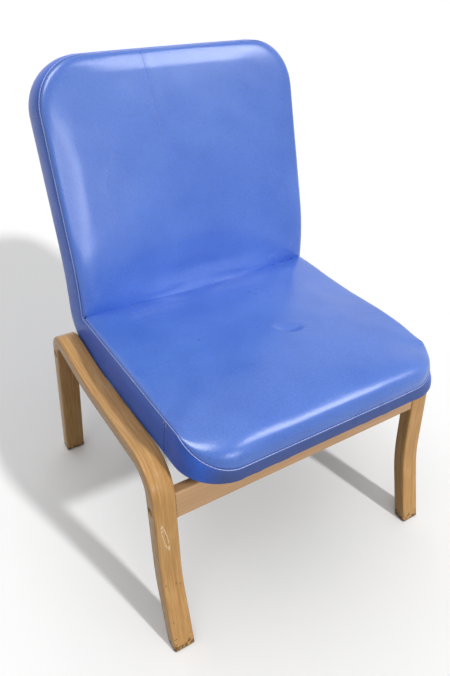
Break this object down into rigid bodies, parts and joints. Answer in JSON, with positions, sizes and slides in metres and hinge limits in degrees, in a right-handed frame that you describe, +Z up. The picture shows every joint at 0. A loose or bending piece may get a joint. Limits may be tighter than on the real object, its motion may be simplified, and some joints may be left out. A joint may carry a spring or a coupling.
{
  "type": "low back chair",
  "caption": "Low back side chair with bent laminated beech side frames, beech cross rails and a boxed, padded one-piece seat and back in blue vinyl.",
  "frame": {"origin": "on the floor under the middle of the chair's overall width and depth", "axes": "+Z up, the chair faces -Y, +X towards the right of someone who looks at its front from -Y"},
  "size_m": [0.56, 0.6245, 0.7877],
  "materials": {
    "beech": "clear satin lacquer over bent laminated beech",
    "dowel_wood": "plain fluted-grade beech dowel rod",
    "plywood": "unfinished moulded plywood",
    "foam": "open-cell polyurethane foam",
    "vinyl": "fine-grained blue upholstery vinyl, semi-matt",
    "base_cloth": "black non-woven base cloth",
    "zinc_steel": "zinc-plated steel",
    "bracket_steel": "zinc-plated pressed steel",
    "nylon": "brown nylon"
  },
  "bodies": {
    "root": {"side_frame_left": "beech", "side_frame_right": "beech", "front_rail": "beech", "rear_rail": "beech", "rail_dowels": "dowel_wood", "connector_bolts": "zinc_steel", "cross_dowels": "zinc_steel", "foot_glides": "nylon", "glide_nails": "zinc_steel", "seat_shell": "plywood", "seat_foam": "foam", "back_foam": "foam", "seat_cover": "vinyl", "back_cover": "vinyl", "outside_back_cover": "vinyl", "side_boxing_left": "vinyl", "side_boxing_right": "vinyl", "front_boxing": "vinyl", "top_boxing": "vinyl", "base_cloth": "base_cloth", "bracket_front_left": "bracket_steel", "bracket_front_right": "bracket_steel", "bracket_rear_left": "bracket_steel", "bracket_rear_right": "bracket_steel", "bracket_screws": "zinc_steel", "seat_bolts": "zinc_steel", "tee_nuts": "zinc_steel"}
  },
  "joints": []
}
